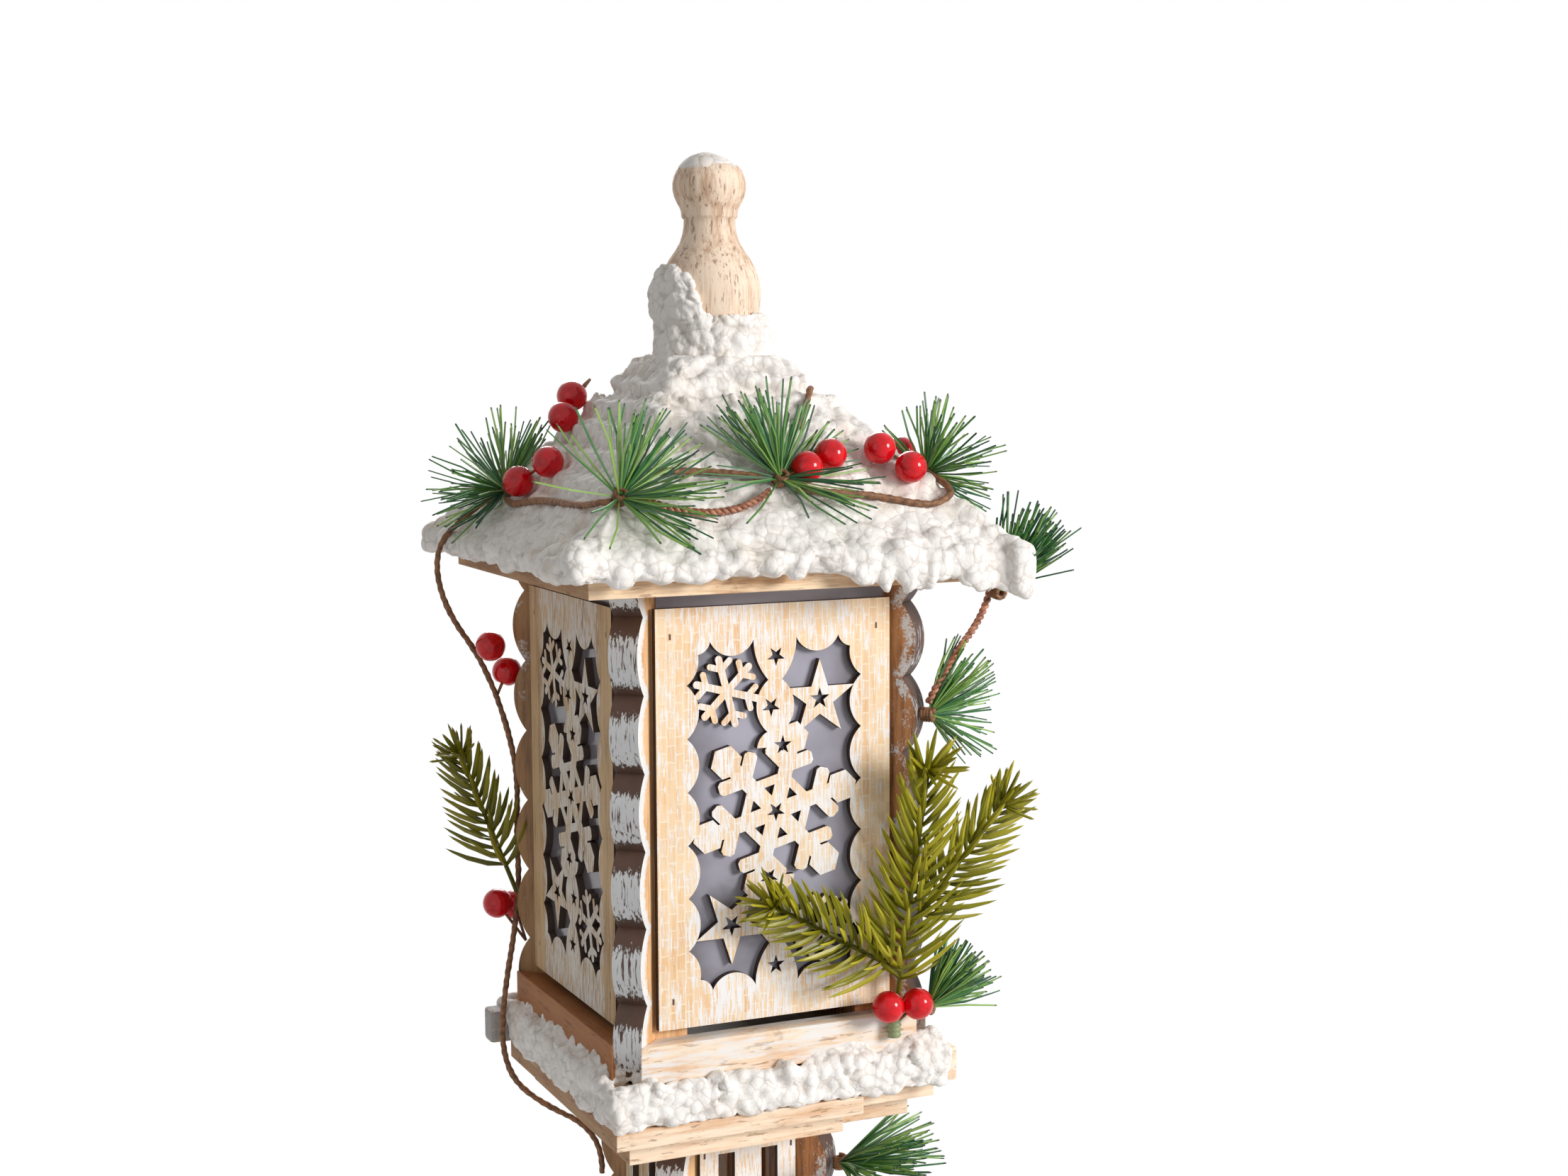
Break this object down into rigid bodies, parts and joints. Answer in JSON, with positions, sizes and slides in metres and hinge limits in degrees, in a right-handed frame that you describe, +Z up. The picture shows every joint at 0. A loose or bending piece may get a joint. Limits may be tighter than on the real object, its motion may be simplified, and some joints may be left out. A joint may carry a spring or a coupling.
{
  "type": "decorative lamp post",
  "caption": "Wooden lamp post: square lantern with pierced star and snowflake panels, scalloped corners and a snow-covered roof on a hollow post, with a rear door to a battery lamp.",
  "frame": {"origin": "on the floor, at the centre of the base board", "axes": "+Z up along the post, -Y is the front side of the picture, door on the +Y side"},
  "size_m": [0.2616, 0.2307, 0.9372],
  "materials": {
    "raw_pine": "raw pine with smears of white paint",
    "whitewashed_ply": "whitewashed plywood with burnt cut edges",
    "stained_board": "dark stain, dry-brushed white",
    "turned_wood": "raw light wood",
    "smoky_pane": "smoky, clear plastic sheet",
    "snow_paste": "lumpy texture paste",
    "steel": "plain steel",
    "lamp_white": "moulded",
    "lamp_black": "moulded",
    "cell_jacket": "plain jacket",
    "lamp_board": "circuit board",
    "frosted_dome": "frosted",
    "wrapped_wire": "paper wrapped round wire",
    "copper_rope": "twisted strands",
    "berry_red": "lacquered",
    "pine_green": "plastic needles",
    "fir_olive": "plastic needles"
  },
  "bodies": {
    "lamp_post": {"base_board": "raw_pine", "base_frame": "raw_pine", "base_snow": "snow_paste", "base_step": "raw_pine", "berries": "berry_red", "bottom_rails": "raw_pine", "brads": "steel", "copper_rope": "copper_rope", "corner_board_front_left": "stained_board", "corner_board_front_right": "stained_board", "corner_board_rear_left": "stained_board", "corner_board_rear_right": "stained_board", "door_strips": "whitewashed_ply", "finial": "turned_wood", "finial_snow": "snow_paste", "fir_sprig_left": "fir_olive", "fir_sprig_right": "fir_olive", "fret_panel_front": "whitewashed_ply", "fret_panel_left": "whitewashed_ply", "fret_panel_right": "whitewashed_ply", "hinge_leaves_fixed": "steel", "lamp_board": "lamp_board", "lamp_case": "lamp_white", "lamp_cells": "cell_jacket", "lamp_dome": "frosted_dome", "lantern_floor": "raw_pine", "ledge_battens": "raw_pine", "ledge_snow": "snow_paste", "left_twine": "wrapped_wire", "lower_frame": "raw_pine", "panes": "smoky_pane", "pine_tuft_a": "pine_green", "pine_tuft_b": "pine_green", "pine_tuft_c": "pine_green", "pine_tuft_d": "pine_green", "pine_tuft_e": "pine_green", "pine_tuft_f": "pine_green", "pine_tuft_g": "pine_green", "pine_tuft_h": "pine_green", "post_corner_front_left": "stained_board", "post_corner_front_right": "stained_board", "post_corner_rear_left": "stained_board", "post_corner_rear_right": "stained_board", "post_panel_front": "whitewashed_ply", "post_panel_left": "whitewashed_ply", "post_panel_rear": "whitewashed_ply", "post_panel_right": "whitewashed_ply", "roof_cap": "turned_wood", "roof_plate": "raw_pine", "roof_slopes": "turned_wood", "roof_snow": "snow_paste", "roof_twine": "wrapped_wire", "upper_frame": "raw_pine"},
    "door": {"door_panel": "whitewashed_ply", "door_pane": "smoky_pane", "hinge_leaves_door": "steel"},
    "turn_button": {"turn_button": "turned_wood"},
    "battery_cover": {"battery_cover": "lamp_white"},
    "switch_slider": {"switch_slider": "lamp_black"}
  },
  "joints": [
    {"name": "door_swing", "type": "hinge", "parent": "lamp_post", "child": "door", "pos_m": [0.0493, 0.0706, 0.6506], "axis": [0, 0, -1], "range_deg": [0, 105]},
    {"name": "button_turn", "type": "hinge", "parent": "lamp_post", "child": "turn_button", "pos_m": [-0.052, 0.0705, 0.6506], "axis": [0, 1, 0], "range_deg": [0, 90]},
    {"name": "cover_slide", "type": "slide", "parent": "lamp_post", "child": "battery_cover", "axis": [0, 0, 1], "range_m": [0, 0.018]},
    {"name": "switch_slide", "type": "slide", "parent": "lamp_post", "child": "switch_slider", "axis": [1, 0, 0], "range_m": [0, 0.005]}
  ]
}
